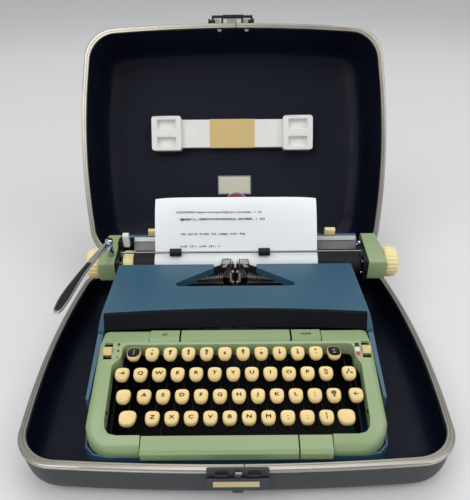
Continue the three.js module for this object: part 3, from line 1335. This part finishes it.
// End plates tied by the beam that runs on the rail; the left one carries the line space selector
const endPlateProfile = rounded([
  [endPlateFront, endPlateBottom], [beamFront, beamBottom], [beamBack, beamBottom],
  [endPlateBack, endPlateBottom], [endPlateBack, endPlateTop], [endPlateFront, endPlateTop],
], [endPlateThickness, 0, 0, 0, endPlateThickness, endPlateThickness]);
const endPlates = [plateLeft - endPlateThickness, plateRight].map((x) =>
  prismX(endPlateProfile, x, x + endPlateThickness));
const selectorEar = box(plateLeft - endPlateThickness, plateLeft, selectorBlockY - selectorBlockDepth,
  selectorBlockY + selectorBlockDepth, 0, selectorEarHeight);
const beam = box(plateLeft - endPlateThickness, plateRight + endPlateThickness, beamFront, beamBack,
  beamBottom, beamTop);
const shaftHole = rodX(shaftBore, coverLeftOuter - overrun, coverRightOuter + overrun, 0, 0, rodSides * 2);
piece("carriage_frame", cut(join(...endPlates, selectorEar, beam), shaftHole), blackMetal, carriage);

// End covers: hollow caps with a sloped top, open towards the end plates
function endCover(name, inner, outer) {
  const from = Math.min(inner, outer);
  const to = Math.max(inner, outer);
  const profile = (inset) => rounded([
    [endCoverFront + inset, endCoverBottom + inset], [endCoverBack - inset, endCoverBottom + inset],
    [endCoverBack - inset, endCoverBackTop - inset], [endCoverFront + inset, endCoverFrontTop - inset],
  ], endCoverCorner);
  const sign = Math.sign(outer);
  const taper = endCoverCorner;
  const plan = prismZ(rounded([
    [inner - sign * overrun, endCoverFront - overrun], [outer, endCoverFront - overrun],
    [outer, 0], [outer - sign * taper, endCoverBack], [outer - sign * taper, endCoverBack + overrun],
    [inner - sign * overrun, endCoverBack + overrun],
  ], 0), endCoverBottom - overrun, endCoverBackTop + overrun);
  const shellSolid = prismX(profile(0), from, to).intersect(plan);
  const hollow = prismX(profile(endCoverWall), sign > 0 ? from - overrun : from + endCoverWall + taper,
    sign > 0 ? to - endCoverWall - taper : to + overrun);
  piece(name, cut(shellSolid, hollow, shaftHole), greenPaint, carriage);
}
endCover("end_cover_left", coverLeftInner, coverLeftOuter);
endCover("end_cover_right", coverRightInner, coverRightOuter);

// Fluted platen knobs on the shaft's ends
function knob(name, face, sign) {
  const ringOf = (radius, depth, x) => {
    const ring = [];
    for (let i = 0; i < knobFlutes * 2; i++) {
      const angle = (i / (knobFlutes * 2)) * Math.PI * 2;
      const r = radius - (i % 2 ? depth : 0);
      ring.push([face + sign * x, r * Math.cos(angle), r * Math.sin(angle)]);
    }
    return ring;
  };
  const body = loft([
    ringOf(knobWaistRadius, 0, 0), ringOf(knobRadius, knobFluteDepth, knobCrown),
    ringOf(knobRadius - knobFluteDepth, knobFluteDepth, knobLength - knobCrown),
    ringOf(knobWaistRadius - knobCrown, 0, knobLength),
  ]);
  const end = face + sign * knobBoreDepth;
  const start = face - sign * overrun;
  const bore = rodX(shaftBore, Math.min(start, end), Math.max(start, end), 0, 0, rodSides * 2);
  piece(name, body.subtract(bore), ivoryKnob, carriage);
}
knob("platen_knob_left", coverLeftOuter - seatGap, -1);
knob("platen_knob_right", coverRightOuter + seatGap, 1);

// Paper bail: a rod on two arms, with its two rubber rollers
const bailLeft = platenRingLeft - runGap;
const bailRight = platenRight + runGap;
const bailArm = (x) => {
  const along = new THREE.Vector2(bailRodY - bailPivotY, bailRodHeight - bailPivotHeight).normalize();
  const side = new THREE.Vector2(-along.y, along.x).multiplyScalar(half(bailArmWidth));
  const low = new THREE.Vector2(bailPivotY, bailPivotHeight).addScaledVector(along, -half(bailArmWidth));
  const top = new THREE.Vector2(bailRodY, bailRodHeight).addScaledVector(along, half(bailArmWidth));
  return prismX([
    [low.x + side.x, low.y + side.y], [low.x - side.x, low.y - side.y],
    [top.x - side.x, top.y - side.y], [top.x + side.x, top.y + side.y],
  ], x, x + bailArmThickness);
};
const bailRod = rodX(bailRodRadius, bailLeft - bailArmThickness, bailRight + bailArmThickness, bailRodY,
  bailRodHeight);
const bailPin = (from, to) => rodX(bailRodRadius, from, to, bailPivotY, bailPivotHeight);
piece("paper_bail", join(bailRod, bailArm(bailLeft - bailArmThickness), bailArm(bailRight),
  bailPin(plateLeft + runGap, bailLeft), bailPin(bailRight, plateRight - runGap)), chrome, carriage);
["left", "right"].forEach((side, i) => {
  const bore = bailRodRadius + runGap;
  const end = half(bailRollerLength);
  const roller = turnedX([
    [bore, -end], [bailRollerRadius, -end], [bailRollerRadius, end], [bore, end], [bore, -end],
  ], rodSides * 2);
  const mesh = piece("bail_roller_" + side, roller, blackRubber, carriage);
  mesh.position.set(sheetShift + sheetWidth * bailRollerShares[i], bailRodY, bailRodHeight);
});

// Paper table behind the platen, bent back along its top edge
const tableFace = [
  [tableLowerY, tableLowerHeight], [tableUpperY, tableUpperHeight], [tableLipY, tableLipHeight]];
const tableRear = [...tableFace].reverse().map(([y, z]) => [y + tableThickness, z - runGap]);
const tableProfile = [...tableFace, ...tableRear];
piece("paper_table", prismX(tableProfile, plateLeft + tableInset, plateRight - runGap), greyMetal, carriage);

// Back cover of the carriage, a channel between the end plates, with the two margin stops on its top
const channel = (inset) => rounded(rectangle(
  backCoverFront + inset + (inset ? -overrun : 0), backCoverBack - inset,
  backCoverBottom - (inset ? overrun : 0), backCoverTop - inset),
[0, 0, backCoverCorner, inset ? 0 : backCoverCorner]);
const backCoverFrom = plateLeft + seatGap;
const backCoverTo = plateRight - seatGap;
const channelInside = prismX(channel(backCoverWall), backCoverFrom - overrun, backCoverTo + overrun);
piece("carriage_back_cover", prismX(channel(0), backCoverFrom, backCoverTo).subtract(channelInside),
  bluePaint, carriage);
["left", "right"].forEach((side, i) => {
  const from = marginStopX[i] - half(marginStopWidth);
  const low = backCoverTop + seatGap;
  const stop = prismX(rounded([
    [backCoverFront, low], [backCoverFront + marginStopDepth, low],
    [backCoverFront + marginStopDepth, low + marginStopHeight], [backCoverFront, low + marginStopHeight],
  ], [0, 0, half(marginStopDepth), half(marginStopDepth)]), from, from + marginStopWidth);
  piece("margin_stop_" + side, stop, ivoryKnob, carriage);
});

// Return lever: a flat arm that widens into the grip, on a stud over the left end cover
const endCoverRise = (endCoverBackTop - endCoverFrontTop) / (endCoverBack - endCoverFront);
const studFoot = endCoverFrontTop + (leverPivotY + leverStudRadius - endCoverFront) * endCoverRise + seatGap;
const leverSpine = new THREE.QuadraticBezierCurve(
  new THREE.Vector2(leverPivotX, leverPivotY), new THREE.Vector2(leverElbowX, leverElbowY),
  new THREE.Vector2(leverTipX, leverTipY));
const leverWidths = [leverRootWidth, leverNeckWidth, leverNeckWidth, leverNeckWidth, leverGripWidth,
  leverGripWidth, leverTipWidth];
const leverLeft = [];
const leverRight = [];
leverWidths.forEach((width, i) => {
  const share = i / (leverWidths.length - 1);
  const at = leverSpine.getPoint(share);
  const along = leverSpine.getTangent(share);
  leverLeft.push([at.x + along.y * half(width), at.y - along.x * half(width)]);
  leverRight.unshift([at.x - along.y * half(width), at.y + along.x * half(width)]);
});
const leverBlade = prismZ([...leverLeft, ...leverRight], leverHeightAboveAxis - half(returnLeverThickness),
  leverHeightAboveAxis + half(returnLeverThickness));
const leverHub = rodZ(half(leverRootWidth), leverHeightAboveAxis - half(returnLeverThickness),
  leverHeightAboveAxis + half(returnLeverThickness) + leverHubHeight, leverPivotX, leverPivotY, rodSides * 2);
const leverStud = rodZ(leverStudRadius, studFoot, leverHeightAboveAxis, leverPivotX, leverPivotY);
piece("return_lever", join(leverBlade, leverHub, leverStud), chrome, carriage);

// Line space selector beside the left end plate's ear
const selectorFrom = plateLeft + seatGap;
const selectorTo = selectorFrom + selectorBlockWidth;
piece("line_space_selector", prismX(rounded([
  [selectorBlockY - half(selectorBlockDepth), selectorBlockBottom],
  [selectorBlockY + half(selectorBlockDepth), selectorBlockBottom],
  [selectorBlockY + half(selectorBlockDepth), selectorBlockTop],
  [selectorBlockY - half(selectorBlockDepth), selectorBlockTop],
], [0, 0, seatGap, half(selectorBlockDepth)]), selectorFrom, selectorTo), ivoryKnob, carriage);

// Carriage release levers behind the end covers
["left", "right"].forEach((side, i) => {
  const sign = i ? 1 : -1;
  const outer = i ? coverRightOuter : coverLeftOuter;
  const y = endCoverBack + seatGap;
  const inner = outer - sign * releaseLeverLength;
  const tip = outer + sign * half(endCoverCorner);
  const plan = rounded([
    [inner, y], [tip, y], [tip, y + releaseLeverReach], [inner, y + half(releaseLeverReach)],
  ], [0, 0, half(endCoverCorner), 0]);
  piece("carriage_release_lever_" + side, prismZ(plan, releaseLeverHeight - releaseLeverThickness,
    releaseLeverHeight), ivoryKnob, carriage);
});

// Sheet of paper: down the table, round the platen, under the bail and up, its top curling back
const sheetRadius = platenRadius + runGap + half(sheetThickness);
const sheetPath = [];
for (let i = 0; i <= sheetWrapSteps; i++) {
  const angle = rad(sheetWrapFrom + (sheetWrapTo - sheetWrapFrom) * (i / sheetWrapSteps));
  sheetPath.push(new THREE.Vector2(sheetRadius * Math.cos(angle), sheetRadius * Math.sin(angle)));
}
sheetFreeY.forEach((y, i) => sheetPath.push(new THREE.Vector2(y, sheetFreeHeight[i])));
const sheetStart = sheetPath[0];
sheetPath.unshift(new THREE.Vector2(sheetStart.x + sheetTailLean, sheetStart.y + sheetTailRise));
function strip(path, thickness) {
  const near = [];
  const far = [];
  path.forEach((point, i) => {
    const before = path[Math.max(i - 1, 0)];
    const after = path[Math.min(i + 1, path.length - 1)];
    const along = after.clone().sub(before).normalize();
    near.push([point.x - along.y * half(thickness), point.y + along.x * half(thickness)]);
    far.unshift([point.x + along.y * half(thickness), point.y - along.x * half(thickness)]);
  });
  return [...near, ...far];
}
piece("paper_sheet", prismX(strip(sheetPath, sheetThickness), sheetShift - half(sheetWidth),
  sheetShift + half(sheetWidth)), whitePaper, carriage);

export default root;
